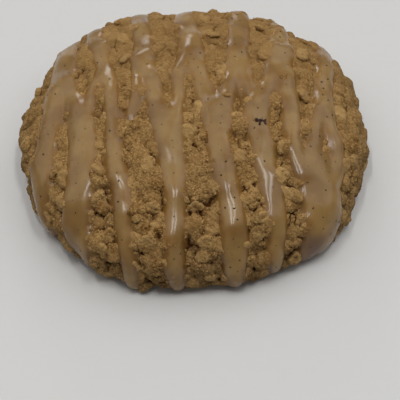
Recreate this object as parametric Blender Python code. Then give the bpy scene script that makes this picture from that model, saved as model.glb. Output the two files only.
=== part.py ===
"""An oatmeal cookie: one baked piece with a lumpy domed top, a bulging rim and a flat foot.

Metres, +Z up. The origin is the middle of the foot, on the surface that the cookie lies on, and the
side that is looked at from the front faces -Y.
"""

import math

import bmesh
import bpy
from mathutils import Vector, noise

# Driving dimensions of the whole cookie.
WIDTH = 0.0890
THICKNESS = 0.0245
RIM_HEIGHT = 0.0075  # where the side bulges out furthest
FOOT_SHARE = 0.925  # radius of the flat foot, as a share of the rim's

# The dome is a quarter of a superellipse: above 2 the top flattens and the shoulder gets steeper.
DOME_ACROSS = 2.35
DOME_UP = 1.95

# The rim's outline: waves round a circle, as (waves in a turn, size, bearing of the first crest).
RIM_WAVES = (
    (2, 0.00055, math.radians(16)),
    (3, 0.00040, math.radians(18)),
    (4, 0.00045, math.radians(-43)),
    (5, 0.00020, math.radians(-35)),
    (6, 0.00030, math.radians(19)),
    (10, 0.00035, math.radians(-4)),
)

# Pebbly relief of dough-coated oats, and the slow unevenness of the whole top.
PEBBLE = 0.0066
PEBBLE_RELIEF = 0.0021
PEBBLE_LEVEL = 0.7  # share of the relief that lies below the smooth shape
CREASE_STEEPNESS = 1.9  # how quickly a pebble rises from the crease round it
PEBBLE_ROUNDNESS = 0.35  # how far a pebble falls off from its middle
SWELL = 0.030
SWELL_RELIEF = 0.0010

# Larger clumps that stand out of the top, as (x, y, radius, height).
CLUMPS = (
    (-0.0230, -0.0235, 0.0032, 0.0014),
    (-0.0235, -0.0365, 0.0042, 0.0014),
    (-0.0105, -0.0385, 0.0048, 0.0012),
    (0.0025, -0.0390, 0.0050, 0.0012),
    (0.0165, -0.0335, 0.0038, 0.0012),
    (0.0220, -0.0150, 0.0032, 0.0010),
    (0.0115, -0.0190, 0.0026, 0.0009),
    (0.0280, 0.0190, 0.0055, 0.0010),
    (0.0185, 0.0190, 0.0048, 0.0010),
    (-0.0290, 0.0180, 0.0055, 0.0010),
    (-0.0095, 0.0290, 0.0055, 0.0009),
    (-0.0400, -0.0060, 0.0050, 0.0009),
    (0.0395, -0.0080, 0.0055, 0.0008),
)

# Calm patches where the dough lies smooth between the oats, as (x, y, radius).
CALM_PATCHES = (
    (-0.0125, -0.0130, 0.0065),
    (-0.0125, -0.0240, 0.0075),
    (0.0010, -0.0230, 0.0080),
)
CALM_SHARE = 0.75  # how much of the pebbly relief a calm patch takes away

# Mesh fineness: rings between the middle of the top and the edge of the foot.
RINGS = 38
SECTORS = 6  # ring n has SECTORS * n points, so that the triangles stay alike in size
PROFILE_STEPS = 400

CRUST_COLOUR = (0.235, 0.135, 0.055, 1.0)
CRUST_ROUGHNESS = 0.85


def clear_scene():
    for old in list(bpy.data.objects):
        bpy.data.objects.remove(old)


def crust_material():
    material = bpy.data.materials.new("baked_crust")
    material.use_nodes = True
    shader = material.node_tree.nodes["Principled BSDF"]
    shader.inputs["Base Color"].default_value = CRUST_COLOUR
    shader.inputs["Roughness"].default_value = CRUST_ROUGHNESS
    shader.inputs["Metallic"].default_value = 0.0
    return material


def rim_radius(bearing):
    waves = sum(size * math.cos(count * (bearing - crest)) for count, size, crest in RIM_WAVES)
    return WIDTH / 2 + waves


def profile():
    """The half section as (share of the rim radius, height), from the top's middle to the foot."""
    points = []
    for step in range(PROFILE_STEPS + 1):
        turn = step / PROFILE_STEPS * math.pi / 2
        share = math.sin(turn) ** (2 / DOME_ACROSS)
        rise = math.cos(turn) ** (2 / DOME_UP)
        points.append((share, RIM_HEIGHT + (THICKNESS - RIM_HEIGHT) * rise))
    for step in range(1, PROFILE_STEPS + 1):
        turn = step / PROFILE_STEPS * math.pi / 2
        share = FOOT_SHARE + (1 - FOOT_SHARE) * math.cos(turn)
        points.append((share, RIM_HEIGHT * (1 - math.sin(turn))))
    return points


def ring_places():
    """Places on the profile at even distances along it, one for each ring."""
    points = profile()
    reach = [0.0]
    for (share_a, height_a), (share_b, height_b) in zip(points, points[1:]):
        step = math.hypot((share_b - share_a) * WIDTH / 2, height_b - height_a)
        reach.append(reach[-1] + step)
    places = []
    for ring in range(RINGS + 1):
        wanted = reach[-1] * ring / RINGS
        nearest = min(range(len(reach)), key=lambda i: abs(reach[i] - wanted))
        places.append(points[nearest])
    return places


def add_rings(mesh):
    """Points of the smooth cookie, ring by ring, without relief."""
    rings = []
    for ring, (share, height) in enumerate(ring_places()):
        count = max(1, SECTORS * ring)
        points = []
        for place in range(count):
            bearing = 2 * math.pi * place / count
            radius = share * rim_radius(bearing)
            spot = (radius * math.cos(bearing), radius * math.sin(bearing), height)
            points.append(mesh.verts.new(spot))
        rings.append(points)
    return rings


def add_skin(mesh, rings):
    """Triangles between neighbouring rings, and one flat face for the foot."""
    for ring in range(1, len(rings)):
        inner, outer = rings[ring - 1], rings[ring]
        for sector in range(SECTORS):
            for step in range(ring):
                a = outer[(sector * ring + step) % len(outer)]
                b = outer[(sector * ring + step + 1) % len(outer)]
                c = inner[(sector * (ring - 1) + step) % len(inner)]
                mesh.faces.new((c, a, b))
                if step < ring - 1:
                    d = inner[(sector * (ring - 1) + step + 1) % len(inner)]
                    mesh.faces.new((c, b, d))
    mesh.faces.new(reversed(rings[-1]))


def bump(spot, x, y, radius):
    """1 at (x, y), falling smoothly to 0 at the radius."""
    away = math.hypot(spot.x - x, spot.y - y) / radius
    return (1 - away * away) ** 2 if away < 1 else 0.0


def pebbles(spot):
    """0 in the creases between pebbles, 1 on their crowns."""
    near, second = noise.voronoi(spot / PEBBLE)[0][:2]
    crease = min(1.0, (second - near) * CREASE_STEEPNESS)
    return crease * (2 - crease) * (1 - PEBBLE_ROUNDNESS * near)


def relief(spot):
    clump, clump_height = max((bump(spot, *place), height) for *place, height in CLUMPS)
    calm = max(bump(spot, *place) for place in CALM_PATCHES)
    share = (1 - clump) * (1 - CALM_SHARE * calm)
    swell = noise.noise(spot / SWELL) * SWELL_RELIEF
    return swell + clump * clump_height + share * (pebbles(spot) - PEBBLE_LEVEL) * PEBBLE_RELIEF


def raise_relief(mesh, rings):
    """Moves the top and side along their normals. The foot's edge keeps to the surface."""
    mesh.normal_update()
    moves = []
    for ring in rings[:-1]:
        for point in ring:
            grip = min(1.0, point.co.z / RIM_HEIGHT)
            moves.append((point, point.normal * relief(point.co) * grip))
    for point, move in moves:
        point.co += move
        point.co.z = max(point.co.z, 0.0)


def centre_on_foot(mesh):
    """Moves the middle of the outline over the origin."""
    for axis in (0, 1):
        places = [point.co[axis] for point in mesh.verts]
        shift = Vector((0, 0, 0))
        shift[axis] = -(min(places) + max(places)) / 2
        for point in mesh.verts:
            point.co += shift


def build_cookie():
    shape = bmesh.new()
    rings = add_rings(shape)
    add_skin(shape, rings)
    raise_relief(shape, rings)
    centre_on_foot(shape)
    data = bpy.data.meshes.new("cookie")
    shape.to_mesh(data)
    shape.free()
    data.shade_smooth()
    data.materials.append(crust_material())
    cookie = bpy.data.objects.new("cookie", data)
    bpy.context.scene.collection.objects.link(cookie)
    return cookie


clear_scene()
build_cookie()
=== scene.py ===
"""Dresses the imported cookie: baked oat dough, drizzled icing, spice, raisins, and a plain pale stage.

It is laid out as a Blender add-on and run as a script. Everything is in metres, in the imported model's
own frame: +Z is up, and the cookie lies on Z = 0 with its near side facing -Y.
"""

import math

import bmesh
import bpy
import numpy as np
from bpy.props import FloatProperty, FloatVectorProperty, IntProperty, PointerProperty
from mathutils import Euler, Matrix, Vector, noise
from mathutils.bvhtree import BVHTree


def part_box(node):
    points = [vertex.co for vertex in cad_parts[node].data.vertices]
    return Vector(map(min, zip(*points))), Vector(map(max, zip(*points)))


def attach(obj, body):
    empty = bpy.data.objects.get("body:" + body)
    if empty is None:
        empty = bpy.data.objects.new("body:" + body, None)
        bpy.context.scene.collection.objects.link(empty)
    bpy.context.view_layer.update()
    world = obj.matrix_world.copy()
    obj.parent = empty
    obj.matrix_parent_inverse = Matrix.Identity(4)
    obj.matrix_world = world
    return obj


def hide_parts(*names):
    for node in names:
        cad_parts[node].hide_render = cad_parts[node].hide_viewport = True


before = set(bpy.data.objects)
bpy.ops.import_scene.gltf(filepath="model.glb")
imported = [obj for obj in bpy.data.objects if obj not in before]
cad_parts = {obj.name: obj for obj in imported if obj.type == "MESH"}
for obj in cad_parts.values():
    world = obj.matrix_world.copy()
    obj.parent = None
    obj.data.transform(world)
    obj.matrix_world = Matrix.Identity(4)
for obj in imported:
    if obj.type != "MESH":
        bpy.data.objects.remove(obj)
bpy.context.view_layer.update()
_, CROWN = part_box("cookie")

bl_info = {
    "name": "Iced Oat Cookie",
    "version": (1, 0, 0),
    "blender": (4, 5, 0),
    "location": "3D View > Sidebar > Cookie",
    "description": "Bakes, ices and lights an oatmeal raisin cookie round its packed frame",
    "category": "Object",
}

MM = 0.001

# Ways out of the cookie start from this height over its foot, on its upright axis.
HEART = 0.3 * CROWN.z

# How far pieces that reach down to the floor stay off it.
DOUGH_CLEARANCE = 0.03 * MM
ICING_CLEARANCE = 0.1 * MM
LEAST_ICING = 0.2 * MM

# Places on top of the cookie are given laid flat, in millimetres: (across, back) is where a point
# would be if the side were folded up, so that each millimetre of height below the crown counts as
# FOLD millimetres further out.
FOLD = 0.6

# The icing strokes, from the far rim to where they run out, as (across, back, half width).
STROKES = (
    (
        (-39.0, 50.0, 2.8), (-38.9, 28.0, 3.2), (-38.3, 17.5, 4.4), (-38.4, 11.5, 4.3),
        (-39.6, 5.5, 3.3), (-40.2, -2.5, 2.7), (-41.0, -8.5, 2.7), (-42.2, -14.5, 3.3),
        (-43.2, -20.0, 3.3), (-44.1, -25.0, 2.7), (-44.5, -29.0, 2.0), (-45.0, -33.0, 1.7),
    ),
    (
        (-36.8, 13.0, 2.4), (-35.3, 8.5, 2.4), (-33.8, 2.5, 2.3), (-31.0, -5.0, 3.2),
        (-30.3, -13.3, 3.5), (-30.2, -21.0, 3.2), (-31.1, -27.5, 3.5), (-32.7, -33.5, 3.8),
        (-33.0, -39.0, 3.6), (-32.3, -43.0, 2.5), (-32.3, -45.0, 1.8),
    ),
    (
        (-30.5, 48.0, 2.2), (-29.2, 28.5, 2.2), (-26.5, 22.0, 2.2), (-25.3, 15.0, 1.9),
        (-24.3, 10.0, 2.2), (-22.7, 6.0, 1.6), (-22.2, 0.0, 1.4), (-21.6, -10.0, 1.6),
        (-21.0, -19.5, 1.7), (-19.7, -27.0, 2.0), (-19.2, -33.0, 2.0), (-19.3, -40.5, 1.6),
        (-18.7, -47.0, 1.6), (-19.0, -53.0, 1.8), (-18.7, -55.5, 1.5),
    ),
    ((-25.5, 10.5, 1.5), (-27.8, 6.0, 0.9), (-28.1, 0.0, 0.8), (-29.3, -3.5, 0.9)),
    (
        (-17.0, 49.0, 2.2), (-16.0, 36.0, 2.1), (-14.5, 27.5, 2.2), (-14.0, 20.5, 2.6),
        (-13.4, 13.2, 2.5), (-11.3, 8.0, 1.8), (-10.6, 3.6, 1.7), (-9.9, -2.2, 2.0),
        (-9.0, -5.5, 2.5), (-7.0, -11.0, 3.3), (-6.0, -18.0, 2.9), (-5.3, -25.0, 2.7),
        (-5.0, -32.0, 2.2), (-5.1, -39.0, 2.0), (-5.3, -46.0, 2.1), (-5.6, -51.0, 2.4),
        (-5.2, -56.0, 1.8),
    ),
    ((-15.0, 13.2, 1.1), (-15.4, 8.8, 1.0), (-15.3, 3.0, 0.8), (-16.0, -1.5, 0.7), (-16.8, -6.0, 0.8)),
    (
        (-2.5, 49.0, 2.4), (-2.2, 37.5, 2.5), (-1.0, 27.8, 2.7), (-0.6, 19.2, 2.9),
        (-0.1, 14.2, 2.7), (1.5, 10.3, 1.9), (2.8, 5.4, 1.9), (3.8, 1.5, 2.1),
        (4.7, -2.2, 2.6), (6.1, -8.4, 3.1), (6.7, -14.4, 2.6), (7.6, -21.7, 2.4),
        (9.0, -28.4, 2.5), (9.8, -34.3, 2.5), (10.6, -38.5, 2.7), (11.3, -43.0, 3.1),
        (11.6, -47.5, 3.4), (11.9, -51.0, 2.8), (12.9, -54.0, 1.6),
    ),
    ((-2.6, 14.3, 1.3), (-3.7, 9.5, 1.1), (-4.2, 1.5, 1.0), (-4.2, -4.5, 1.1), (-5.0, -9.5, 1.8)),
    (
        (15.0, 49.0, 2.4), (14.1, 38.0, 2.6), (13.4, 29.4, 2.6), (12.4, 19.8, 2.7),
        (12.8, 13.2, 2.8), (14.4, 8.7, 1.6), (15.4, 3.5, 1.2), (16.7, 0.4, 1.8),
        (17.3, -4.0, 2.9), (17.3, -10.0, 2.7), (18.2, -15.6, 2.4), (19.3, -22.4, 2.4),
        (21.0, -29.1, 2.4), (22.7, -35.6, 2.3), (23.6, -40.8, 2.0), (23.6, -44.7, 1.7),
        (24.5, -47.8, 2.2),
    ),
    ((11.3, 12.4, 1.7), (10.3, 6.2, 1.5), (9.6, 1.1, 1.9), (8.2, -2.5, 2.4), (7.0, -6.0, 2.8)),
    ((28.0, 47.0, 1.8), (26.6, 36.0, 1.8), (25.7, 30.5, 1.5), (23.5, 26.3, 1.0), (24.0, 20.0, 2.6)),
    ((25.7, 30.5, 1.5), (27.5, 26.3, 0.9), (26.2, 20.0, 1.6)),
    (
        (24.4, 19.0, 3.0), (24.4, 13.0, 3.4), (25.8, 9.0, 2.2), (26.2, 4.1, 1.7),
        (27.1, -1.6, 1.9), (26.7, -9.8, 1.7), (26.9, -14.8, 1.7), (27.8, -18.5, 2.1),
        (30.5, -22.5, 2.9),
    ),
    ((22.4, 14.4, 1.8), (20.9, 8.2, 1.2), (20.5, 5.0, 1.4), (19.1, 2.0, 1.8), (17.6, -2.0, 2.5)),
    (
        (42.0, 42.0, 1.8), (40.8, 29.0, 2.0), (39.4, 21.0, 2.2), (38.4, 13.0, 2.4),
        (37.3, 4.5, 2.0), (34.9, -2.7, 1.8), (34.2, -6.7, 1.5), (33.8, -12.5, 1.6),
        (32.8, -16.8, 2.4), (33.5, -21.0, 3.2),
    ),
    (
        (37.3, 4.5, 1.8), (37.8, -2.0, 2.0), (39.2, -8.4, 1.5), (40.4, -12.0, 1.6),
        (41.0, -17.4, 1.9), (40.2, -22.5, 2.4),
    ),
    (
        (34.8, -20.5, 5.2), (35.5, -25.0, 6.0), (36.0, -29.0, 6.0), (37.0, -33.0, 6.0),
        (38.0, -37.0, 5.6), (37.6, -40.5, 4.6), (36.0, -43.0, 3.2),
    ),
)

# How much wider than its points say a stroke has spread, in millimetres.
SPREAD = 0.75

# Where the dough lies calm and sandy between the oats, as (across, back, radius).
CALM_PATCHES = (
    (-12.9, -13.5, 6.5),
    (-12.8, -24.5, 8.0),
    (0.8, -24.5, 11.0),
    (13.0, -24.0, 5.0),
    (-36.0, -14.0, 5.0),
)

# Raisins bedded in the dough, as (across, back, turn in degrees, how far the tip stands out).
RAISINS = (
    (-25.7, -3.9, 20, 0.0),
    (-10.0, -15.2, 75, -0.1),
    (17.2, -9.2, 130, 0.8),
    (36.4, -43.0, 60, -0.1),
    (-31.0, 41.0, 15, -0.1),
    (20.5, 49.0, 100, 0.1),
    (48.0, 12.0, 40, -0.1),
    (-50.5, 6.0, 80, -0.3),
)

# Oat flakes that stand out of the dough, as (across, back, turn in degrees, length in millimetres,
# lean in degrees).
PLACED_OATS = (
    (11.8, -20.1, 70, 3.9, 8),
    (-1.2, -12.0, 5, 4.6, 16),
    (23.1, -16.5, 40, 3.6, 12),
    (-26.2, -23.0, 0, 4.2, 20),
    (18.0, -37.6, 60, 4.0, 18),
    (-11.9, -44.3, 75, 4.2, 14),
    (2.8, -44.4, 20, 4.0, 10),
    (-26.4, -44.6, 30, 4.6, 12),
    (30.2, -36.0, 120, 3.8, 16),
    (-2.6, -33.0, 90, 3.4, 12),
    (0.4, -35.0, 30, 4.6, 4),
    (-10.6, -34.8, 150, 3.8, 14),
    (14.5, -45.5, 100, 3.7, 16),
    (-37.0, -30.5, 60, 3.8, 10),
    (30.4, 2.5, 80, 3.8, 8),
    (-18.2, 14.5, 20, 3.6, 10),
    (5.6, 24.0, 140, 3.8, 8),
    (47.0, -14.0, 70, 4.0, 10),
    (-48.0, 14.0, 110, 4.0, 10),
    (20.0, 33.0, 50, 3.9, 10),
    (-22.5, 40.0, 10, 4.0, 12),
)


# Where a raisin under the icing stains it, as (across, back, strength).
RAISIN_STAINS = ((36.0, -42.5, 0.75), (17.2, -9.2, 0.22))
STAIN_REACH = 5.5


def shown(red, green, blue):
    """A colour as a screen shows it, from 0 to 255, as the linear colour that Blender works in."""
    parts = [part / 255 for part in (red, green, blue)]
    linear = [part / 12.92 if part <= 0.04045 else ((part + 0.055) / 1.055) ** 2.4 for part in parts]
    return tuple(linear)


def length(name, description, millimetres):
    return FloatProperty(
        name=name, description=description, default=millimetres * MM, min=0, precision=5, unit="LENGTH"
    )


def power(name, description, watts):
    return FloatProperty(name=name, description=description, default=watts, min=0, unit="POWER")


def paint(name, description, red, green, blue):
    return FloatVectorProperty(
        name=name, description=description, default=shown(red, green, blue), min=0, max=1, subtype="COLOR"
    )


class DoughLooks(bpy.types.PropertyGroup):
    """The baked dough and the oats in it."""

    grain: length("Mesh grain", "Edge of the small cells that the dough is fused from", 0.30)
    lump: length("Lump", "Mean width of the lumps that the dough clings together in", 3.3)
    lump_gap: length("Lump gap", "Least distance between the middles of two lumps", 2.1)
    oat: length("Oat", "Mean length of a rolled oat", 3.7)
    oat_gap: length("Oat gap", "Least distance between the middles of two oats", 2.7)
    crumb: length("Crumb", "How far the fine crumb stands in and out", 0.54)
    triangles: IntProperty(
        name="Triangles", description="Most triangles that the dough keeps", default=194000, min=1000
    )
    golden: paint("Golden", "Baked dough on the top", 153, 112, 54)
    # Toasted is partly the browning of the baked rim and partly painted shade: it darkens the dough towards
    # the bottom.
    toasted_and_shaded: paint("Toasted", "Browner dough at the rim and underneath", 79, 44, 14)
    pale: paint("Pale", "Pale specks in the dough", 176, 144, 94)
    # The hollow colour is painted shade, laid into the dough's hollows, nooks and cracks.
    hollow: paint("Hollow", "Dark moist dough between the lumps", 60, 28, 6)
    flake: paint("Flake", "Bare oat flake", 170, 134, 82)


class IcingLooks(bpy.types.PropertyGroup):
    """The drizzled icing."""

    thickness: length("Thickness", "Icing over the middle of a wide stroke", 1.25)
    film: length("Film", "Thinnest icing over the tops of the lumps", 0.22)
    dip: length("Dip", "How far an edge of a stroke starts below the tops of the lumps", 0.18)
    buried: length("Buried", "How far the icing reaches into the dough", 1.6)
    triangles: IntProperty(
        name="Triangles", description="Most triangles that the icing keeps", default=150000, min=1000
    )
    thick: paint("Thick", "Icing where it lies thick", 142, 112, 65)
    thin: paint("Thin", "Icing where the dough shines through", 110, 77, 36)
    tint: paint("Raisin tint", "Icing that a raisin colours from below", 96, 66, 52)
    dust: paint("Dust", "The finest spice in the icing", 92, 66, 38)


class ToppingLooks(bpy.types.PropertyGroup):
    """Spice, raisins and loose oats."""

    speck: length("Speck", "Width of a large speck of spice", 0.52)
    speck_gap: length("Speck gap", "Least distance between two specks", 1.9)
    raisin: length("Raisin", "Length of a raisin", 9.5)
    crumb: length("Crumb", "Width of a fine crumb", 0.50)
    crumb_gap: length("Crumb gap", "Least distance between the middles of two crumbs", 0.42)
    spice: paint("Spice", "Ground spice in the icing", 64, 38, 18)
    skin: paint("Raisin skin", "Wrinkled raisin skin", 56, 30, 22)


class StageLooks(bpy.types.PropertyGroup):
    """The floor, the lamps and the camera."""

    floor: paint("Floor", "The pale surface under the cookie", 205, 204, 202)
    sky: FloatProperty(name="Sky", description="Strength of the even light from all round", default=0.175)
    strip: power("Strips", "Each of two strip lamps overhead", 1.3)
    side: power("Sides", "Each of two wide side lamps", 5.1)
    back: power("Back", "Lamp behind the cookie", 0.42)
    lens: FloatProperty(name="Lens", description="Focal length, in millimetres", default=120.4)
    distance: length("Distance", "From the camera to the cookie", 350)
    height: FloatProperty(
        name="Height angle",
        description="How steeply the camera looks down",
        default=math.radians(49),
        subtype="ANGLE",
    )


# ---- Node trees -----------------------------------------------------------------------------------


class Wire:
    """An output of a node. Arithmetic on it adds Math nodes to its tree."""

    def __init__(self, board, socket):
        self.board = board
        self.socket = socket

    def maths(self, operation, *values, clamp=False):
        settings = {"operation": operation, "use_clamp": clamp}
        return self.board.add("ShaderNodeMath", settings, dict(enumerate(values)))

    def __add__(self, other):
        return self.maths("ADD", self, other)

    def __sub__(self, other):
        return self.maths("SUBTRACT", self, other)

    def __mul__(self, other):
        return self.maths("MULTIPLY", self, other)

    def __truediv__(self, other):
        return self.maths("DIVIDE", self, other)

    def __rsub__(self, other):
        return self.maths("SUBTRACT", other, self)

    def __rtruediv__(self, other):
        return self.maths("DIVIDE", other, self)

    __radd__ = __add__
    __rmul__ = __mul__

    def clamped(self):
        return self.maths("ADD", self, 0.0, clamp=True)

    def ramp(self, low, high):
        """0 below low and 1 above high, with a soft turn at both."""
        sockets = {"Value": self, "From Min": low, "From Max": high}
        return self.board.add("ShaderNodeMapRange", {"interpolation_type": "SMOOTHSTEP"}, sockets)


class Board:
    """Adds nodes to one tree, laid out in the order in which they are made."""

    def __init__(self, tree):
        self.tree = tree

    def add(self, kind, settings=None, sockets=None, output=0):
        node = self.tree.nodes.new(kind)
        node.location = (190 * (len(self.tree.nodes) % 8), -240 * (len(self.tree.nodes) // 8))
        for name, value in (settings or {}).items():
            setattr(node, name, value)
        for key, value in (sockets or {}).items():
            self.feed(node.inputs[key], value)
        return Wire(self, node.outputs[output] if len(node.outputs) else None)

    def feed(self, socket, value):
        if isinstance(value, Wire):
            self.tree.links.new(value.socket, socket)
        elif isinstance(value, tuple) and socket.type == "RGBA":
            socket.default_value = (*value[:3], 1.0)
        else:
            socket.default_value = value

    def mix(self, factor, first, second, blend="MIX"):
        """Mixes two colours."""
        settings = {"data_type": "RGBA", "blend_type": blend}
        return self.add("ShaderNodeMix", settings, {0: factor, 6: first, 7: second}, output=2)

    def vector(self, operation, first, second=None, output=0, scale=None):
        sockets = {0: first}
        if second is not None:
            sockets[1] = second
        if scale is not None:
            sockets["Scale"] = scale
        return self.add("ShaderNodeVectorMath", {"operation": operation}, sockets, output)

    def cloud(self, where, size, detail=2.0, roughness=0.5, output=0):
        """Soft noise with patches of about that size, in metres."""
        sockets = {"Vector": where, "Scale": 0.5 / size, "Detail": detail, "Roughness": roughness}
        return self.add("ShaderNodeTexNoise", {}, sockets, output)

    def cells(self, where, size, feature="F1", output=0, randomness=1.0):
        """Distance to scattered points that are about that far apart, in metres."""
        sockets = {"Vector": where, "Scale": 1 / size, "Randomness": randomness}
        return self.add("ShaderNodeTexVoronoi", {"feature": feature}, sockets, output)


class Growth(Board):
    """A Geometry Nodes tree with named inputs, which works on a mesh."""

    KINDS = {
        "number": "NodeSocketFloat",
        "count": "NodeSocketInt",
        "collection": "NodeSocketCollection",
        "object": "NodeSocketObject",
        "material": "NodeSocketMaterial",
    }

    def __init__(self, name, **inputs):
        super().__init__(bpy.data.node_groups.new(name, "GeometryNodeTree"))
        face = self.tree.interface
        face.new_socket("Geometry", in_out="INPUT", socket_type="NodeSocketGeometry")
        face.new_socket("Geometry", in_out="OUTPUT", socket_type="NodeSocketGeometry")
        for label, kind in inputs.items():
            title = label.replace("_", " ").capitalize()
            face.new_socket(title, in_out="INPUT", socket_type=self.KINDS[kind])
        entry = self.tree.nodes.new("NodeGroupInput")
        self.surface = Wire(self, entry.outputs[0])
        self.given = {label: Wire(self, entry.outputs[i]) for i, label in enumerate(inputs, start=1)}

    def finish(self, geometry, material):
        """Ends the tree in plain geometry of one material."""
        real = self.add("GeometryNodeRealizeInstances", {}, {0: geometry})
        coated = self.add("GeometryNodeSetMaterial", {}, {"Geometry": real, "Material": material})
        smooth = self.add("GeometryNodeSetShadeSmooth", {}, {0: coated})
        self.add("NodeGroupOutput", {}, {0: smooth})
        return self.tree

    def named(self, name, kind="FLOAT"):
        return self.add("GeometryNodeInputNamedAttribute", {"data_type": kind}, {"Name": name})

    def store(self, geometry, name, value, domain="POINT"):
        settings = {"data_type": "FLOAT", "domain": domain}
        sockets = {0: geometry, "Name": name, "Value": value}
        return self.add("GeometryNodeStoreNamedAttribute", settings, sockets)


def add_growth(piece, tree, **values):
    """Puts a tree on a piece as a modifier, and sets its inputs by their identifiers."""
    modifier = piece.modifiers.new(tree.name, "NODES")
    modifier.node_group = tree
    sockets = {item.name: item.identifier for item in tree.interface.items_tree if item.in_out == "INPUT"}
    for label, value in values.items():
        modifier[sockets[label.replace("_", " ").capitalize()]] = value
    return modifier


# ---- Meshes ---------------------------------------------------------------------------------------


def new_piece(name, mesh):
    piece = bpy.data.objects.new(name, mesh)
    bpy.context.scene.collection.objects.link(piece)
    return piece


def settle(piece):
    """Turns a piece and its modifiers into a plain mesh."""
    graph = bpy.context.evaluated_depsgraph_get()
    mesh = bpy.data.meshes.new_from_object(piece.evaluated_get(graph), depsgraph=graph)
    piece.modifiers.clear()
    piece.data = mesh
    return piece


def drop(*pieces):
    for piece in pieces:
        bpy.data.objects.remove(piece)


def seat(piece):
    """A finished piece rides on the cookie's one body."""
    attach(piece, "root")


def mesh_from(name, shape):
    """A smooth-shaded mesh of a shape that is then no longer needed."""
    mesh = bpy.data.meshes.new(name)
    shape.to_mesh(mesh)
    shape.free()
    mesh.shade_smooth()
    return mesh


def core_mesh():
    """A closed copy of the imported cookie."""
    shape = bmesh.new()
    shape.from_mesh(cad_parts["cookie"].data)
    bmesh.ops.remove_doubles(shape, verts=shape.verts, dist=0.001 * MM)
    return mesh_from("core", shape)


def spots_of(mesh):
    spots = np.empty(len(mesh.vertices) * 3, np.float32)
    mesh.vertices.foreach_get("co", spots)
    return spots.reshape(-1, 3).astype(float)


def normals_of(mesh):
    normals = np.empty(len(mesh.vertices) * 3, np.float32)
    mesh.vertex_normals.foreach_get("vector", normals)
    return normals.reshape(-1, 3).astype(float)


def put_attribute(mesh, name, values):
    attribute = mesh.attributes.get(name) or mesh.attributes.new(name, "FLOAT", "POINT")
    attribute.data.foreach_set("value", np.asarray(values, np.float32))


def attribute_of(mesh, name):
    values = np.empty(len(mesh.vertices), np.float32)
    mesh.attributes[name].data.foreach_get("value", values)
    return values


def laid_flat(spots):
    """Where points of the cookie lie when its side is folded up, in millimetres."""
    radius = np.hypot(spots[:, 0], spots[:, 1])
    reach = radius + FOLD * np.maximum(CROWN.z - spots[:, 2], 0)
    return spots[:, :2] * (reach / np.maximum(radius, 0.01 * MM))[:, None] / MM


def soft_step(values, low, high):
    t = np.clip((values - low) / (high - low), 0, 1)
    return t * t * (3 - 2 * t)


def near_share(spots, low, high, slant=0.0):
    """1 on the near side and 0 on the far side, with a soft turn that low and high give from the middle."""
    return soft_step(-spots[:, 1] - slant * np.abs(spots[:, 0]), low, high)


def calm_share(flat):
    """1 in the middle of a calm patch, 0 outside."""
    calm = np.zeros(len(flat))
    for across, back, radius in CALM_PATCHES:
        away = np.hypot(flat[:, 0] - across, flat[:, 1] - back)
        calm = np.maximum(calm, 1 - soft_step(away, 0.5 * radius, radius))
    return calm


def place_on(tree, across, back):
    """The point of a surface that lies at that place when it is laid flat.

    Rays towards the heart are tried from straight above down to the side until one lands far enough out.
    """
    bearing = math.atan2(back, across)
    wanted = math.hypot(across, back) * MM
    heart = Vector((0, 0, HEART))
    start = 200 * MM
    sweep = math.radians(105)
    steps = 400
    found = None
    for step in range(steps):
        rise = math.pi / 2 - step / steps * sweep
        level = math.cos(rise)
        way = Vector((math.cos(bearing) * level, math.sin(bearing) * level, math.sin(rise)))
        hit = tree.ray_cast(heart + way * start, -way)[0]
        if hit is None:
            continue
        found = hit
        if math.hypot(hit.x, hit.y) + FOLD * max(0, CROWN.z - hit.z) >= wanted:
            break
    return found


def way_out(spot):
    """Straight out of the cookie at that point, whatever lump it is on."""
    flatness = 2.2
    return Vector((spot.x, spot.y, flatness * (spot.z - HEART))).normalized()


# ---- Shapes of the small things -------------------------------------------------------------------


def small_object(name, shape):
    return bpy.data.objects.new(name, mesh_from(name, shape))


def lump(kind):
    """A rough lump of dough, one unit across."""
    shape = bmesh.new()
    bmesh.ops.create_icosphere(shape, subdivisions=3, radius=0.5)
    stretch = Vector((1.15, 0.92, 0.72))
    for vert in shape.verts:
        spot = vert.co * 2.1 + Vector((13.7 * kind, 0, 0))
        rough = 0.30 * noise.noise(spot * 0.8) + 0.07 * noise.noise(spot * 2.4)
        vert.co = vert.co * (1 + rough) * stretch
    return small_object(f"lump_{kind}", shape)


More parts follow.
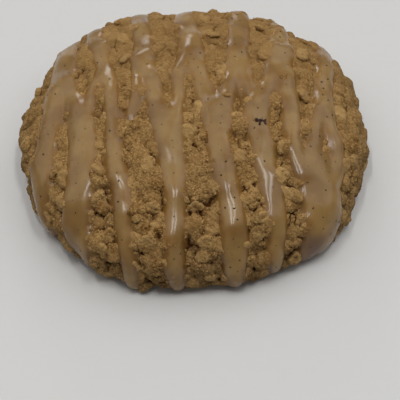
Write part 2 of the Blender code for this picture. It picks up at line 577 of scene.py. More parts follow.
def rolled_oat(kind, rings=3, sectors=14):
    """A rolled oat, one unit long: a thin oval flake, creased along the middle and slightly curled."""
    shape = bmesh.new()
    breadth = 0.72 + 0.05 * (kind % 3)
    thickness = 0.13
    curl = (0.10, -0.07, 0.16, 0.04)[kind % 4]

    def flake_point(ring, sector, side):
        out = ring / rings
        turn = 2 * math.pi * sector / sectors
        ragged = 1 + 0.22 * noise.noise(Vector((1.6 * math.cos(turn), 1.6 * math.sin(turn), 5.0 * kind)))
        across = 0.5 * breadth * out * math.sin(turn) * ragged
        along = 0.5 * out * math.cos(turn) * ragged
        crease = -0.045 * math.exp(-((across / 0.07) ** 2)) * (1 - out**2)
        bend = curl * (4 * along**2 - 0.3) * 0.5 + 0.6 * curl * across
        rib = 0.008 * math.sin(70 * across) * (1 - out**4)
        wall = thickness * (1 - out**2.5) + 0.03
        return Vector((along, across, bend + crease + side * (rib + wall / 2)))

    sides = []
    for side in (1, -1):
        middle = shape.verts.new(flake_point(0, 0, side))
        loops = [
            [shape.verts.new(flake_point(ring, sector, side)) for sector in range(sectors)]
            for ring in range(1, rings + 1)
        ]
        sides.append((middle, loops))
    for middle, loops in sides:
        for sector in range(sectors):
            after = (sector + 1) % sectors
            shape.faces.new((middle, loops[0][sector], loops[0][after]))
            for inner, outer in zip(loops, loops[1:]):
                shape.faces.new((inner[sector], outer[sector], outer[after], inner[after]))
    top, bottom = sides[0][1][-1], sides[1][1][-1]
    for sector in range(sectors):
        after = (sector + 1) % sectors
        shape.faces.new((top[sector], bottom[sector], bottom[after], top[after]))
    bmesh.ops.recalc_face_normals(shape, faces=shape.faces)
    return small_object(f"rolled_oat_{kind}", shape)


def speck(kind):
    """A chip of ground spice, one unit across."""
    shape = bmesh.new()
    bmesh.ops.create_icosphere(shape, subdivisions=1, radius=0.5)
    for vert in shape.verts:
        rough = 0.5 * noise.noise(vert.co * 2.5 + Vector((7.1 * kind, 0, 0)))
        vert.co = vert.co * (1 + rough) * Vector((1.1, 0.85, 0.45))
    return small_object(f"speck_{kind}", shape)


def crumb(kind):
    """A grain of baked dough, one unit across."""
    shape = bmesh.new()
    bmesh.ops.create_icosphere(shape, subdivisions=1, radius=0.5)
    for vert in shape.verts:
        rough = 0.4 * noise.noise(vert.co * 2.2 + Vector((5.3 * kind, 0, 2)))
        vert.co = vert.co * (1 + rough)
    return small_object(f"crumb_{kind}", shape)


def shelf(name, things):
    """A collection that a tree picks its shapes from. It isn't linked to the scene."""
    collection = bpy.data.collections.new(name)
    for thing in things:
        collection.objects.link(thing)
    return collection


# ---- Trees ----------------------------------------------------------------------------------------


def scatter_tree():
    """Strews shapes from a collection over a surface, more where its "room" attribute is high.

    Sink is how far a shape goes in, as a share of its size. Each shape gets a random "tone".
    """
    grow = Growth(
        "Scatter", shapes="collection", gap="number", size="number", unevenness="number",
        sink="number", tilt="number", seed="count", material="material",
    )
    given = grow.given
    sockets = {
        "Mesh": grow.surface,
        "Distance Min": given["gap"],
        "Density Max": 0.9 / (given["gap"] * given["gap"]),
        "Density Factor": grow.named("room"),
        "Seed": given["seed"],
    }
    settings = {"distribute_method": "POISSON"}
    points = grow.add("GeometryNodeDistributePointsOnFaces", settings, sockets)
    facing = Wire(grow, points.socket.node.outputs["Rotation"])
    out = Wire(grow, points.socket.node.outputs["Normal"])
    random_size = grow.add(
        "FunctionNodeRandomValue",
        {"data_type": "FLOAT"},
        {2: 1 - given["unevenness"], 3: 1 + given["unevenness"], "Seed": given["seed"] + 1},
        output=1,
    )
    size = random_size * given["size"]
    lean = grow.add("ShaderNodeCombineXYZ", {}, {0: given["tilt"], 1: given["tilt"], 2: math.pi})
    lean_back = grow.vector("SCALE", lean, scale=-1.0)
    turn = grow.add(
        "FunctionNodeRandomValue",
        {"data_type": "FLOAT_VECTOR"},
        {0: lean_back, 1: lean, "Seed": given["seed"] + 2},
    )
    turn = grow.add("FunctionNodeEulerToRotation", {}, {0: turn})
    turned = grow.add(
        "FunctionNodeRotateRotation", {"rotation_space": "LOCAL"}, {"Rotation": facing, "Rotate By": turn}
    )
    sunk = grow.vector("SCALE", out, scale=size * given["sink"] * -1.0)
    points = grow.add("GeometryNodeSetPosition", {}, {"Geometry": points, "Offset": sunk})
    picks = grow.add("GeometryNodeCollectionInfo", {}, {0: given["shapes"], 1: True, 2: True})
    sockets = {4: 0, 5: 9, "Seed": given["seed"] + 3}
    which = grow.add("FunctionNodeRandomValue", {"data_type": "INT"}, sockets, output=2)
    sockets = {
        "Points": points,
        "Instance": picks,
        "Pick Instance": True,
        "Instance Index": which,
        "Rotation": turned,
        "Scale": size,
    }
    strewn = grow.add("GeometryNodeInstanceOnPoints", {}, sockets)
    sockets = {"Seed": given["seed"] + 4}
    tone = grow.add("FunctionNodeRandomValue", {"data_type": "FLOAT"}, sockets, output=1)
    strewn = grow.store(strewn, "tone", tone, "INSTANCE")
    return grow.finish(strewn, given["material"])


def knead_tree():
    """Joins lumps and oats to the core, each still a shape of its own."""
    grow = Growth("Knead", lumps="object", oats="object", placed_oats="object", material="material")
    joined = grow.add("GeometryNodeJoinGeometry")
    for shape in ("placed_oats", "oats", "lumps"):
        part = grow.add("GeometryNodeObjectInfo", {}, {0: grow.given[shape]}, output=4)
        grow.feed(joined.socket.node.inputs[0], part)
    grow.feed(joined.socket.node.inputs[0], grow.surface)
    return grow.finish(joined, grow.given["material"])


def crumb_tree():
    """Roughens the fused dough, and marks its hollows, its oats and the tone of each lump."""
    grow = Growth("Crumb", bits="object", relief="number", material="material")
    given = grow.given
    place = grow.add("GeometryNodeInputPosition")
    out = grow.add("GeometryNodeInputNormal")
    bits = grow.add("GeometryNodeObjectInfo", {}, {0: given["bits"]}, output=4)
    dough = grow.surface
    for name in ("oat", "tone", "calm"):
        nearest = grow.add(
            "GeometryNodeSampleNearestSurface",
            {"data_type": "FLOAT"},
            {"Mesh": bits, "Value": grow.named(name), "Sample Position": place},
        )
        softened = grow.add("GeometryNodeBlurAttribute", {"data_type": "FLOAT"}, {0: nearest, 1: 1})
        dough = grow.store(dough, name, softened)
    rounded = grow.add("GeometryNodeBlurAttribute", {"data_type": "FLOAT_VECTOR"}, {0: place, 1: 2})
    dough = grow.add("GeometryNodeSetPosition", {}, {"Geometry": dough, "Position": rounded})
    oat = grow.named("oat")

    lump_width = 4.4 * MM
    swirl = grow.cloud(place, 2.2 * MM, detail=2, output=1)
    swirl = grow.vector("SUBTRACT", swirl, (0.5, 0.5, 0.5))
    warped = grow.vector("ADD", place, grow.vector("SCALE", swirl, scale=5.0 * MM))
    away = grow.cells(warped, lump_width)
    lumps = 0.2 - away * away
    broken = grow.cloud(place, 3.0 * MM, detail=2).ramp(0.48, 0.62)
    crack = (1 - grow.cells(warped, lump_width, "DISTANCE_TO_EDGE").ramp(0.0, 0.08)) * broken
    crack = crack * (1 - 0.8 * grow.named("calm"))
    dough = grow.store(dough, "crack", crack)
    crack = grow.named("crack")

    coarse = grow.cloud(place, 1.3 * MM, detail=3, roughness=0.6) - 0.5
    away = grow.cells(place, 0.8 * MM)
    grains = 0.25 - away * away
    pits = grow.cloud(place, 2.4 * MM, detail=1).ramp(0.62, 0.76)
    bulge = lumps * (1 - grow.named("calm")) * 3.4 - crack * 0.9
    sandy = (grains * 0.9 - pits * 0.9) * (1 - oat)
    rough = coarse * (0.8 - 0.45 * oat) + sandy + bulge * (1 - 0.45 * oat)

    # It is gentler next to the floor and on the far side, and the sides swell out a little.
    split = grow.add("ShaderNodeSeparateXYZ", {}, {0: place})
    rise = Wire(grow, split.socket.node.outputs["Z"])
    aside = split.maths("ABSOLUTE", split)
    far = (Wire(grow, split.socket.node.outputs["Y"]) + aside * 0.4).ramp(-16 * MM, 12 * MM)
    off_floor = rise.ramp(0.0, 2.0 * MM)
    gentle = (0.35 + 0.65 * off_floor) * (1 - 0.62 * far)
    swell = (0.30 * MM + 0.012 * aside) * off_floor
    height = rough * given["relief"] * (1 - 0.5 * oat) * gentle + swell
    push = grow.vector("SCALE", out, scale=height)
    dough = grow.add("GeometryNodeSetPosition", {}, {"Geometry": dough, "Offset": push})
    above = grow.vector("MAXIMUM", place, (-1.0, -1.0, DOUGH_CLEARANCE))
    dough = grow.add("GeometryNodeSetPosition", {}, {"Geometry": dough, "Position": above})

    # A hollow or a nook is a place that lies below the mean of its neighbours.
    for name, rounds, reach in (("hollow", 55, 1.3 * MM), ("nook", 9, 0.34 * MM)):
        soft = grow.add("GeometryNodeBlurAttribute", {"data_type": "FLOAT_VECTOR"}, {0: place, 1: rounds})
        inward = grow.vector("SUBTRACT", soft, place)
        depth = grow.vector("DOT_PRODUCT", inward, out, output=1) / reach
        dough = grow.store(dough, name, depth)
    return grow.finish(dough, given["material"])


# ---- Finishes -------------------------------------------------------------------------------------


def new_finish(name, **constants):
    """A material with one Principled shader. Constants are set on the shader's own sockets."""
    material = bpy.data.materials.new(name)
    material.use_nodes = True
    board = Board(material.node_tree)
    shader = material.node_tree.nodes["Principled BSDF"]
    for label, value in constants.items():
        shader.inputs[label.replace("_", " ")].default_value = value
    where = board.add("ShaderNodeTexCoord", {}, {}, output=3)
    return material, board, shader, where


def marked(board, name):
    return board.add("ShaderNodeAttribute", {"attribute_name": name}, {}, output=2)


def bump(board, height, depth, strength=1.0):
    """Bends the normal as if the surface rose by depth metres where height goes from 0 to 1."""
    return board.add("ShaderNodeBump", {}, {"Strength": strength, "Distance": depth, "Height": height})


def baked_colour(board, where, looks):
    """Golden on top and browner towards the bottom, partly from baking and partly as painted shade, browner
    in patches too, with paler specks.
    """
    rise = board.add("ShaderNodeSeparateXYZ", {}, {0: where}, output=2)
    patches = board.cloud(where, 7 * MM, detail=3)
    mottle = board.cloud(where, 1.3 * MM, detail=4, roughness=0.65)
    # Darker towards the bottom: partly the browning of the baked rim, partly painted shade on the low sides.
    toast_and_shade = (1 - rise.ramp(2.0 * MM, 20.0 * MM)) * 0.95 + patches.ramp(0.45, 0.75) * 0.45
    colour = board.mix(toast_and_shade.clamped(), tuple(looks.golden), tuple(looks.toasted_and_shaded))
    return board.mix(mottle.ramp(0.35, 0.68) * 0.34, colour, tuple(looks.pale))


def toned(board, colour, tone, pale):
    """Darker and browner where tone is 0, and most of the way to pale where it is 1."""
    low = board.mix(1.0, colour, (0.36, 0.26, 0.14), "MULTIPLY")
    high = board.mix(0.70, colour, pale)
    return board.mix(tone.clamped(), low, high)


def dough_finish(looks):
    """Baked dough with a tone for each lump and grain, ribbed oats, and painted shade in its hollows, nooks
    and cracks.
    """
    material, board, shader, where = new_finish("baked_dough", Specular_IOR_Level=0.10)
    oat = marked(board, "oat")
    grain_width = 0.42 * MM
    grain = board.cells(where, grain_width)
    grain_colour = board.cells(where, grain_width, output=1)
    grain_tone = board.add("ShaderNodeSeparateColor", {}, {0: grain_colour})
    colour = board.mix(oat * 0.7, baked_colour(board, where, looks), tuple(looks.flake))
    sockets = {"Vector": where, "Scale": 0.26 / MM, "Distortion": 11.0, "Detail": 2.0}
    ribs = board.add("ShaderNodeTexWave", {"bands_direction": "DIAGONAL"}, sockets, output=1)
    tone = 0.60 * marked(board, "tone") - 0.02 + (0.60 - 0.35 * oat) * grain_tone
    tone = tone + (0.10 + 0.20 * ribs) * oat
    back = board.add("ShaderNodeSeparateXYZ", {}, {0: where}, output=1)
    even = 0.6 * back.ramp(-8 * MM, 28 * MM)
    colour = toned(board, colour, tone * (1 - even) + 0.56 * even, tuple(looks.pale))
    # Painted shade: the hollow colour darkens the dough in its hollows, nooks and cracks, where shade falls.
    dark = marked(board, "hollow").ramp(0.0, 0.8) * 0.85 + marked(board, "nook").ramp(0.05, 1.0) * 0.55
    dark = dark + marked(board, "crack").ramp(0.1, 0.9) * 0.45
    colour = board.mix(dark.clamped() * 0.92, colour, tuple(looks.hollow))
    board.feed(shader.inputs["Base Color"], colour)
    board.feed(shader.inputs["Roughness"], 0.92 - 0.22 * oat)
    sandy = board.cloud(where, 0.30 * MM, detail=3, roughness=0.7) - grain * 0.7
    fine = sandy * (1 - 0.7 * oat) + 0.25 * oat * ribs
    board.feed(shader.inputs["Normal"], bump(board, fine, 0.30 * MM))
    return material


def crumb_finish(looks):
    """Like the dough under them, but each crumb has a tone of its own."""
    material, board, shader, where = new_finish("crumb", Specular_IOR_Level=0.12)
    tone = marked(board, "tone")
    colour = toned(board, baked_colour(board, where, looks), 0.24 + tone, tuple(looks.pale))
    board.feed(shader.inputs["Base Color"], colour)
    board.feed(shader.inputs["Roughness"], 0.95 - 0.2 * tone)
    fine = board.cloud(where, 0.25 * MM, detail=2)
    board.feed(shader.inputs["Normal"], bump(board, fine, 0.15 * MM))
    return material


def icing_finish(looks, dough_looks):
    """Glossy icing: milky where it is thick, the dough's amber where it is thin, tinted by raisins."""
    material, board, shader, where = new_finish(
        "icing", Specular_IOR_Level=0.45, Subsurface_Weight=0.25, Subsurface_Scale=1.2 * MM, IOR=1.46,
    )
    shader.inputs["Subsurface Radius"].default_value = (1.0, 0.55, 0.28)
    depth = marked(board, "depth")
    tint = marked(board, "tint")
    streak = board.cloud(where, 2.6 * MM, detail=2)
    haze = board.cloud(where, 4.5 * MM, detail=3)
    thick = (depth + (streak - 0.5) * 0.5).ramp(0.15, 1.0)
    thin = board.mix(0.5, baked_colour(board, where, dough_looks), tuple(looks.thin))
    colour = board.mix(thick, thin, tuple(looks.thick))
    colour = board.mix(haze.ramp(0.38, 0.66) * 0.62, colour, tuple(looks.thin))
    dust = board.cells(where, 0.85 * MM)
    dots = (1 - dust.ramp(0.10, 0.26)) * board.cloud(where, 1.9 * MM).ramp(0.50, 0.62) * 0.5
    colour = board.mix(dots, colour, tuple(looks.dust))
    colour = board.mix(tint, colour, tuple(looks.tint))
    board.feed(shader.inputs["Base Color"], colour)
    board.feed(shader.inputs["Roughness"], 0.18 + 0.13 * streak)
    soft = board.cloud(where, 1.4 * MM, detail=1)
    board.feed(shader.inputs["Normal"], bump(board, soft, 0.02 * MM))
    return material


def plain_finish(name, colour, keep, roughness, grain, relief):
    """A finish mottled by a colour that keeps that share of its light, with a grain that rises by relief."""
    darker = tuple(keep * part for part in colour)
    material, board, shader, where = new_finish(name, Specular_IOR_Level=0.25)
    mottle = board.cloud(where, grain, detail=4, roughness=0.65)
    dark = mottle.ramp(0.35, 0.7) * 0.5 + marked(board, "tone") * 0.5
    board.feed(shader.inputs["Base Color"], board.mix(dark, tuple(colour), darker))
    board.feed(shader.inputs["Roughness"], roughness + 0.2 * mottle)
    board.feed(shader.inputs["Normal"], bump(board, mottle, relief))
    return material


# ---- Pieces ---------------------------------------------------------------------------------------


def scattered(name, host_mesh, shapes, material, **values):
    """A plain mesh of shapes strewn over a host."""
    piece = new_piece(name, host_mesh.copy())
    tree = bpy.data.node_groups.get("Scatter") or scatter_tree()
    add_growth(piece, tree, shapes=shapes, material=material, **values)
    return settle(piece)


class COOKIE_OT_bake_dough(bpy.types.Operator):
    """Fuse lumps and rolled oats into the cookie's dough"""

    bl_idname = "cookie.bake_dough"
    bl_label = "Bake the Dough"

    def execute(self, context):
        looks = context.scene.cookie_dough
        finish = dough_finish(looks)
        bits = self.kneaded(looks, finish)
        dough = new_piece("dough", bits.data.copy())
        fuse = dough.modifiers.new("fuse", "REMESH")
        fuse.mode = "VOXEL"
        fuse.voxel_size = looks.grain
        fuse.use_smooth_shade = True
        add_growth(dough, crumb_tree(), bits=bits, relief=looks.crumb, material=finish)
        settle(dough)
        thin_out(dough, looks.triangles)
        drop(bits)
        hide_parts("cookie")
        seat(dough)
        return {"FINISHED"}

    def kneaded(self, looks, finish):
        """The core with its lumps and oats, each still a shape of its own and marked as what it is."""
        core = core_mesh()
        spots = spots_of(core)
        calm = calm_share(laid_flat(spots))
        free = soft_step(spots[:, 2], 0.3 * MM, 2.2 * MM) * self.crown_share(core)
        near_side = 0.25 + 0.75 * near_share(spots, -12 * MM, 16 * MM, slant=0.4)
        put_attribute(core, "room", free * near_side * (1 - 0.75 * calm))
        lumps = scattered(
            "lumps", core, shelf("lump_shapes", [lump(kind) for kind in range(5)]), finish,
            gap=looks.lump_gap, size=looks.lump, unevenness=0.42, sink=0.22, tilt=0.9, seed=11,
        )
        put_attribute(core, "room", free * (0.25 + 0.75 * near_side) * (1 - 0.85 * calm))
        oats = scattered(
            "oats", core, shelf("oat_shapes", [rolled_oat(kind) for kind in range(5)]), finish,
            gap=looks.oat_gap, size=looks.oat, unevenness=0.25, sink=-0.05, tilt=0.26, seed=5,
        )
        bits = new_piece("bits", core)
        placed = self.placed_oats(bits)
        for piece, tone in ((bits, 0.5), (placed, 0.75)):
            put_attribute(piece.data, "tone", np.full(len(piece.data.vertices), tone))
        for piece, oat in ((bits, 0), (lumps, 0), (oats, 1), (placed, 1)):
            put_attribute(piece.data, "oat", np.full(len(piece.data.vertices), oat))
        add_growth(bits, knead_tree(), lumps=lumps, oats=oats, placed_oats=placed, material=finish)
        settle(bits)
        put_attribute(bits.data, "calm", calm_share(laid_flat(spots_of(bits.data))))
        drop(lumps, oats, placed)
        return bits

    def placed_oats(self, core):
        """The oats that have a place of their own."""
        tree = surface_tree(core)
        shape = bmesh.new()
        for kind, (across, back, turn, long, lean) in enumerate(PLACED_OATS):
            spot = place_on(tree, across, back)
            flake = rolled_oat(kind, 5, 20)
            before = len(shape.verts)
            shape.from_mesh(flake.data)
            shape.verts.ensure_lookup_table()
            facing = way_out(spot).to_track_quat("Z", "Y")
            spin = Euler((0, 0, math.radians(turn))).to_quaternion()
            spin = Euler((math.radians(lean), 0, 0)).to_quaternion() @ spin
            for vert in shape.verts[before:]:
                vert.co = facing @ (spin @ (vert.co * long * MM) + Vector((0, 0, 0.45 * MM))) + spot
        return new_piece("placed_oats", mesh_from("placed_oats", shape))

    def crown_share(self, core):
        """1 on the crowns of the core's pebbles, less in the creases between them, which stay open."""
        even = new_piece("even", core.copy())
        smooth = even.modifiers.new("smooth", "SMOOTH")
        smooth.iterations = 10
        settle(even)
        stands_out = np.sum((spots_of(core) - spots_of(even.data)) * normals_of(core), axis=1)
        drop(even)
        return 0.12 + 0.88 * soft_step(stands_out, -0.35 * MM, 0.15 * MM)


def thin_out(piece, most_triangles):
    """Takes triangles away where the surface is flattest."""
    piece.data.calc_loop_triangles()
    now = len(piece.data.loop_triangles)
    if now <= most_triangles:
        return
    thinning = piece.modifiers.new("thin_out", "DECIMATE")
    thinning.ratio = most_triangles / now
    settle(piece)


def smooth_path(stroke, step=0.3):
    """A stroke's points joined by a smooth line (Catmull-Rom), about a step apart."""
    knots = np.array(stroke, float)
    knots = np.vstack([2 * knots[0] - knots[1], knots, 2 * knots[-1] - knots[-2]])
    path = []
    for a, b, c, d in zip(knots, knots[1:], knots[2:], knots[3:]):
        count = max(2, int(np.hypot(*(c - b)[:2]) / step))
        for t in np.arange(count) / count:
            bend = (2 * a - 5 * b + 4 * c - d) * t**2 + (3 * b - a - 3 * c + d) * t**3
            path.append(0.5 * (2 * b + (c - a) * t + bend))
    path.append(knots[-2])
    return np.array(path)


def inside_strokes(flat, blend=0.7, far=-5.0):
    """How far each place lies inside the icing's outline, and how high the strokes' backs rise there.

    Both are in millimetres. The first is less than 0 outside the outline. A back is 1 high at most.
    """
    margin = 8.0
    batch = 4000
    narrow = 1.3
    inside = np.full(len(flat), far)
    backs = np.zeros(len(flat))
    for stroke in STROKES:
        path = smooth_path(stroke)
        low = path[:, :2].min(0) - margin
        high = path[:, :2].max(0) + margin
        index = np.flatnonzero(np.all((flat > low) & (flat < high), axis=1))
        for part in np.array_split(index, max(1, len(index) // batch)):
            away = np.hypot(flat[part, 0, None] - path[:, 0], flat[part, 1, None] - path[:, 1])
            width = path[:, 2] + SPREAD
            nearest = (width - away).argmax(axis=1)
            away = away[np.arange(len(part)), nearest]
            width = width[nearest]
            depth = np.maximum(width - away, far)
            inside[part] = blend * np.logaddexp(inside[part] / blend, depth / blend)
            dome = np.clip(1 - (away / width) ** 2, 0, 1) ** 0.75
            back = (1 - np.exp(-width / narrow)) * dome
            backs[part] = (backs[part] ** 3 + back**3) ** (1 / 3)
    return inside, np.minimum(backs, 1)


class Skin:
    """A fine mesh over the cookie, as arrays of places, ways out and four-cornered faces."""

    def __init__(self, mesh):
        self.spots = spots_of(mesh)
        self.normals = normals_of(mesh)
        corners = np.empty(len(mesh.loops), np.int64)
        mesh.loops.foreach_get("vertex_index", corners)
        self.faces = corners.reshape(-1, 4)

    def keep(self, wanted):
        """Keeps only the faces whose corners are all wanted."""
        self.faces = self.faces[wanted[self.faces].all(axis=1)]
        used = np.unique(self.faces)
        renumber = np.full(len(self.spots), -1)
        renumber[used] = np.arange(len(used))
        self.faces = renumber[self.faces]
        self.spots = self.spots[used]
        self.normals = self.normals[used]
        return used

    def edges(self):
        """Each face's sides, as pairs of corners in order."""
        return np.vstack([self.faces[:, [i, (i + 1) % 4]] for i in range(4)])

    def blurred(self, values, rounds):
        """Values averaged with their neighbours', again and again."""
        pairs = self.edges()
        count = len(values)
        degree = np.bincount(pairs[:, 0], minlength=count) + np.bincount(pairs[:, 1], minlength=count)
        for _ in range(rounds):
            total = np.bincount(pairs[:, 0], values[pairs[:, 1]], count)
            total += np.bincount(pairs[:, 1], values[pairs[:, 0]], count)
            values = 0.4 * values + 0.6 * total / np.maximum(degree, 1)
        return values

    def widest(self, values, rounds):
        """The highest value among a place and its neighbours, again and again."""
        pairs = self.edges()
        values = values.copy()
        for _ in range(rounds):
            before = values.copy()
            np.maximum.at(values, pairs[:, 0], before[pairs[:, 1]])
            np.maximum.at(values, pairs[:, 1], before[pairs[:, 0]])
        return values

    def closed_mesh(self, name, top, bottom):
        """A shell between two sheets, which lie at those heights over the skin."""
        count = len(self.spots)
        upper = self.spots + self.normals * top[:, None]
        lower = self.spots + self.normals * bottom[:, None]
        upper[:, 2] = np.maximum(upper[:, 2], ICING_CLEARANCE + LEAST_ICING)
        lower[:, 2] = np.maximum(lower[:, 2], ICING_CLEARANCE)
        pairs = self.edges()
        codes = pairs[:, 0] * count + pairs[:, 1]
        back = pairs[:, 1] * count + pairs[:, 0]
        rim = pairs[~np.isin(codes, back)]
        walls = np.column_stack([rim[:, 1], rim[:, 0], rim[:, 0] + count, rim[:, 1] + count])
        faces = np.vstack([self.faces, self.faces[:, ::-1] + count, walls])
        mesh = bpy.data.meshes.new(name)
        mesh.vertices.add(2 * count)
        mesh.vertices.foreach_set("co", np.vstack([upper, lower]).astype(np.float32).ravel())
        mesh.loops.add(faces.size)
        mesh.loops.foreach_set("vertex_index", faces.astype(np.int32).ravel())
        mesh.polygons.add(len(faces))
        mesh.polygons.foreach_set("loop_start", np.arange(0, faces.size, 4, dtype=np.int32))
        mesh.update(calc_edges=True)
        mesh.validate()
        mesh.shade_smooth()
        return mesh


def surface_tree(piece):
    return BVHTree.FromObject(piece, bpy.context.evaluated_depsgraph_get())


class COOKIE_OT_pour_icing(bpy.types.Operator):
    """Pour the drizzled strokes of icing over the dough"""

    bl_idname = "cookie.pour_icing"
    bl_label = "Pour the Icing"

    def execute(self, context):
        looks = context.scene.cookie_icing
        skin = self.smooth_skin()
        inside, backs = inside_strokes(laid_flat(skin.spots))
        used = skin.keep((inside > -3.5) & (skin.spots[:, 2] > 0.2 * MM))
        inside = inside[used] + self.ragged(skin.spots)
        backs = backs[used]
        dough = bpy.data.objects["dough"]
        height = self.dough_height(skin, surface_tree(dough))
        near = skin.blurred(height, 9)
        level = skin.blurred(skin.widest(near, 2), 120)
        used = skin.keep(inside > -1.2)
        measures = (inside, backs, near, level, height)
        inside, backs, near, level, height = (values[used] for values in measures)
        top = self.icing_top(looks, skin, inside, backs, near, level)
        bottom = np.minimum(level, top) - looks.buried
        covered = skin.blurred(np.clip((top - height) / looks.thickness, 0, 1), 3)
        shown_depth = 0.5 * covered + 0.5 * soft_step(inside, 0.1, 1.7)

        mesh = skin.closed_mesh("icing", top, bottom)
        put_attribute(mesh, "depth", np.concatenate([shown_depth, shown_depth * 0]))
        tint = self.stains(laid_flat(skin.spots))
        put_attribute(mesh, "tint", np.concatenate([tint, tint]))
        icing = new_piece("icing", mesh)
        mesh.materials.append(icing_finish(looks, context.scene.cookie_dough))
        divide = icing.modifiers.new("divide", "SUBSURF")
        divide.levels = 1
        divide.render_levels = 1
        settle(icing)
        thin_out(icing, looks.triangles)
        seat(icing)
        return {"FINISHED"}

    def icing_top(self, looks, skin, inside, backs, near, level):
        """How high the icing stands: a smooth bead over the lumps, or a film that drapes over them."""
        edge = soft_step(inside, -0.2, 1.0)
        body = looks.thickness * (0.7 + 0.3 * near_share(skin.spots, -12 * MM, 10 * MM))
        bead = level + body * backs - looks.dip
        drape = near + looks.film * edge - 0.5 * looks.film
        top = np.logaddexp(bead / looks.film, drape / looks.film) * looks.film - 0.3 * looks.film
        top = np.where(inside > 0, top, near + np.maximum(1.2 * inside, -2) * MM)
        return skin.blurred(top, 8)

    def stains(self, flat):
        """How strongly raisins stain the icing from below."""
        tint = np.zeros(len(flat))
        for across, back, strength in RAISIN_STAINS:
            away = np.hypot(flat[:, 0] - across, flat[:, 1] - back)
            tint = np.maximum(tint, strength * (1 - soft_step(away, 1.0, STAIN_REACH)))
        return tint

    def smooth_skin(self):
        """The cookie without its pebbles, finely divided."""
        piece = new_piece("skin", core_mesh())
        smooth = piece.modifiers.new("smooth", "SMOOTH")
        smooth.factor = 0.6
        smooth.iterations = 14
        divide = piece.modifiers.new("divide", "SUBSURF")
        divide.levels = 2
        divide.render_levels = 2
        settle(piece)
        skin = Skin(piece.data)
        drop(piece)
        return skin

    def ragged(self, spots):
        """Unevenness of the outline, in millimetres."""
        slow = [noise.noise(Vector(spot) / (5.0 * MM)) for spot in spots]
        fast = [noise.noise(Vector(spot) / (1.6 * MM)) for spot in spots]
        return 0.45 * np.array(slow) + 0.16 * np.array(fast)

    def dough_height(self, skin, tree):
        """How far the dough stands out of the skin, in metres."""
        start = 6 * MM
        heights = np.zeros(len(skin.spots))
        for i, (spot, out) in enumerate(zip(skin.spots, skin.normals)):
            way = Vector(out)
            hit = tree.ray_cast(Vector(spot) + way * start, -way, 2 * start)
            heights[i] = start - hit[3] if hit[0] else 0
        return heights


class COOKIE_OT_strew_spice(bpy.types.Operator):
    """Strew specks of ground spice through the icing"""

    bl_idname = "cookie.strew_spice"
    bl_label = "Strew the Spice"

    def execute(self, context):
        looks = context.scene.cookie_toppings
        icing = bpy.data.objects["icing"]
        host = icing.data.copy()
        put_attribute(host, "room", soft_step(attribute_of(host, "depth"), 0.5, 0.9) * 0.8)
        finish = plain_finish("spice", looks.spice, 0.4, 0.7, 0.3 * MM, 0.08 * MM)
        spice = scattered(
            "spice", host, shelf("speck_shapes", [speck(kind) for kind in range(3)]), finish,
            gap=looks.speck_gap, size=looks.speck, unevenness=0.5, sink=0.10, tilt=0.3, seed=21,
        )
        seat(spice)
        return {"FINISHED"}


class COOKIE_OT_tuck_raisins(bpy.types.Operator):
    """Tuck raisins into the dough so that only their tips show"""

    bl_idname = "cookie.tuck_raisins"
    bl_label = "Tuck in the Raisins"

    def execute(self, context):
        looks = context.scene.cookie_toppings
        trees = [surface_tree(bpy.data.objects[name]) for name in ("dough", "icing")]
        shape = bmesh.new()
        for kind, (across, back, turn, tip) in enumerate(RAISINS):
            spots = [place_on(tree, across, back) for tree in trees]
            spot = max(spots, key=lambda place: place.length)
            self.add_raisin(shape, kind, spot, way_out(spot), math.radians(turn), tip * MM, looks.raisin)
        mesh = mesh_from("raisins", shape)
        mesh.materials.append(plain_finish("raisin_skin", looks.skin, 0.35, 0.42, 0.9 * MM, 0.2 * MM))
        seat(new_piece("raisins", mesh))
        return {"FINISHED"}

    def add_raisin(self, shape, kind, spot, out, turn, tip, size):
        """One wrinkled raisin, which stands out of the dough by tip."""
        before = len(shape.verts)
        bmesh.ops.create_icosphere(shape, subdivisions=4, radius=0.5)
        shape.verts.ensure_lookup_table()
        verts = shape.verts[before:]
        facing = out.to_track_quat("Z", "Y")
        spin = Euler((0, 0, turn)).to_quaternion()
        for vert in verts:
            way = vert.co.normalized()
            fold = abs(noise.noise(Vector((way.x * 1.6, way.y * 4.2, way.z * 4.2 + 9 * kind))))
            fine = abs(noise.noise(way * 8.0 + Vector((0, 0, 4 * kind))))
            vert.co *= 0.84 + 0.42 * fold + 0.12 * fine
            vert.co = Vector((vert.co.y * 0.62, vert.co.z * 0.48, vert.co.x)) * size
        top = max(vert.co.z for vert in verts)
        for vert in verts:
            vert.co = facing @ (spin @ vert.co + Vector((0, 0, tip - top))) + spot
            vert.co.z = max(vert.co.z, 0.2 * MM)


class COOKIE_OT_sprinkle_crumbs(bpy.types.Operator):
    """Bed fine sandy crumbs in the bare dough"""

    bl_idname = "cookie.sprinkle_crumbs"
    bl_label = "Sprinkle the Crumbs"

    def execute(self, context):
        looks = context.scene.cookie_toppings
        host = bpy.data.objects["dough"].data.copy()
        spots = spots_of(host)
        flat = laid_flat(spots)
        bare = 1 - soft_step(inside_strokes(flat)[0], -0.6, 0.8)
        off_floor = soft_step(spots[:, 2], 0.6 * MM, 2.0 * MM)
        near_side = 0.20 + 0.80 * near_share(spots, -14 * MM, 10 * MM)
        level = 1 - soft_step(attribute_of(host, "hollow"), 0.0, 0.45)
        patchy = np.array([noise.noise(Vector(spot) / (3.5 * MM)) for spot in spots])
        sandy = 0.35 + 0.65 * soft_step(patchy, -0.25, 0.15)
        put_attribute(host, "room", bare * off_floor * near_side * level * sandy)
        finish = crumb_finish(context.scene.cookie_dough)
        crumbs = scattered(
            "crumbs", host, shelf("crumb_shapes", [crumb(kind) for kind in range(4)]), finish,
            gap=looks.crumb_gap, size=looks.crumb, unevenness=0.5, sink=0.24, tilt=0.6, seed=41,
        )
        seat(crumbs)
        return {"FINISHED"}


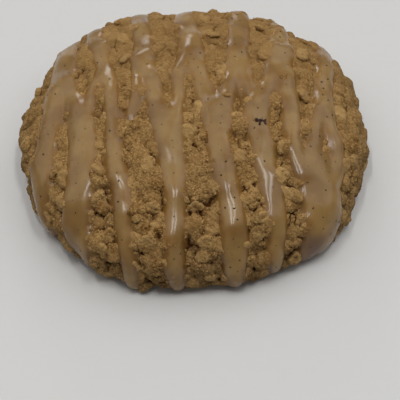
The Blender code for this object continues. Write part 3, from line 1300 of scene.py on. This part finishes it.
class COOKIE_OT_light_stage(bpy.types.Operator):
    """Set up the pale floor, the soft lamps and the camera"""

    bl_idname = "cookie.light_stage"
    bl_label = "Light the Stage"

    def execute(self, context):
        looks = context.scene.cookie_stage
        self.add_floor(looks)
        self.add_world(context.scene, looks)
        for name, side in (("left", -1), ("right", 1)):
            uneven = 1 + 0.08 * side
            self.add_lamp(f"strip_lamp_{name}", looks.strip, (0.26, 0.03), side * 90, 80, shift=-0.10)
            self.add_lamp(f"side_lamp_{name}", looks.side * uneven, (1.5, 1.2), side * 58, 48, distance=1.2)
        self.add_lamp("back_lamp", looks.back, (0.16, 0.12), -8, 22)
        self.add_camera(context.scene, looks)
        context.scene.view_settings.view_transform = "Standard"
        return {"FINISHED"}

    def add_floor(self, looks):
        shape = bmesh.new()
        bmesh.ops.create_grid(shape, x_segments=8, y_segments=8, size=1.5)
        mesh = mesh_from("floor", shape)
        mesh.materials.append(plain_finish("pale_floor", looks.floor, 0.99, 0.6, 1.5 * MM, 0.02 * MM))
        floor = new_piece("floor", mesh)

    def add_world(self, scene, looks):
        world = bpy.data.worlds.new("soft_sky")
        world.use_nodes = True
        board = Board(world.node_tree)
        background = world.node_tree.nodes["Background"]
        path = board.add("ShaderNodeLightPath", {}, {}, output=0)
        seen = board.mix(path, (1.0, 1.0, 1.0), tuple(looks.floor))
        board.feed(background.inputs["Color"], seen)
        board.feed(background.inputs["Strength"], looks.sky + (1 - looks.sky) * path)
        scene.world = world

    def add_lamp(self, name, power, size, bearing, height, distance=0.75, shift=0.0):
        """A soft lamp that faces the cookie. Its bearing is from straight behind, positive to the right.

        Then it is moved towards the back by shift, without turning.
        """
        light = bpy.data.lights.new(name, "AREA")
        light.shape = "RECTANGLE"
        light.size, light.size_y = size
        light.energy = power
        lamp = bpy.data.objects.new(name, light)
        east = math.radians(90 - bearing)
        up = math.radians(height)
        way = Vector((math.cos(east) * math.cos(up), math.sin(east) * math.cos(up), math.sin(up)))
        lamp.location = way * distance + Vector((0, shift, 0))
        lamp.rotation_euler = way.to_track_quat("Z", "Y").to_euler()
        bpy.context.scene.collection.objects.link(lamp)

    def add_camera(self, scene, looks):
        lens = bpy.data.cameras.new("camera")
        lens.lens = looks.lens
        lens.sensor_width = 36
        lens.clip_start = 0.01
        camera = bpy.data.objects.new("camera", lens)
        middle = Vector((0, 0, 8 * MM))
        way_back = Vector((0, -math.cos(looks.height), math.sin(looks.height)))
        camera.location = middle + way_back * looks.distance
        aim = middle + Vector((1.6, -20.6, 0)) * MM
        camera.rotation_euler = (camera.location - aim).to_track_quat("Z", "Y").to_euler()
        scene.collection.objects.link(camera)
        scene.camera = camera


GROUPS = (
    ("cookie_dough", DoughLooks),
    ("cookie_icing", IcingLooks),
    ("cookie_toppings", ToppingLooks),
    ("cookie_stage", StageLooks),
)
OPERATORS = (
    COOKIE_OT_bake_dough,
    COOKIE_OT_pour_icing,
    COOKIE_OT_strew_spice,
    COOKIE_OT_tuck_raisins,
    COOKIE_OT_sprinkle_crumbs,
    COOKIE_OT_light_stage,
)


class COOKIE_PT_bakery(bpy.types.Panel):
    """Steps and sizes of the cookie"""

    bl_label = "Cookie"
    bl_idname = "COOKIE_PT_bakery"
    bl_space_type = "VIEW_3D"
    bl_region_type = "UI"
    bl_category = "Cookie"

    def draw(self, context):
        for operator in OPERATORS:
            self.layout.operator(operator.bl_idname)
        for name, group in GROUPS:
            box = self.layout.box()
            for label in group.__annotations__:
                box.prop(getattr(context.scene, name), label)


def register():
    for name, group in GROUPS:
        bpy.utils.register_class(group)
        setattr(bpy.types.Scene, name, PointerProperty(type=group))
    for operator in OPERATORS:
        bpy.utils.register_class(operator)
    bpy.utils.register_class(COOKIE_PT_bakery)


def unregister():
    bpy.utils.unregister_class(COOKIE_PT_bakery)
    for operator in reversed(OPERATORS):
        bpy.utils.unregister_class(operator)
    for name, group in reversed(GROUPS):
        delattr(bpy.types.Scene, name)
        bpy.utils.unregister_class(group)


def main():
    register()
    bpy.ops.cookie.bake_dough()
    bpy.ops.cookie.pour_icing()
    bpy.ops.cookie.strew_spice()
    bpy.ops.cookie.tuck_raisins()
    bpy.ops.cookie.sprinkle_crumbs()
    bpy.ops.cookie.light_stage()


if __name__ == "__main__":
    main()
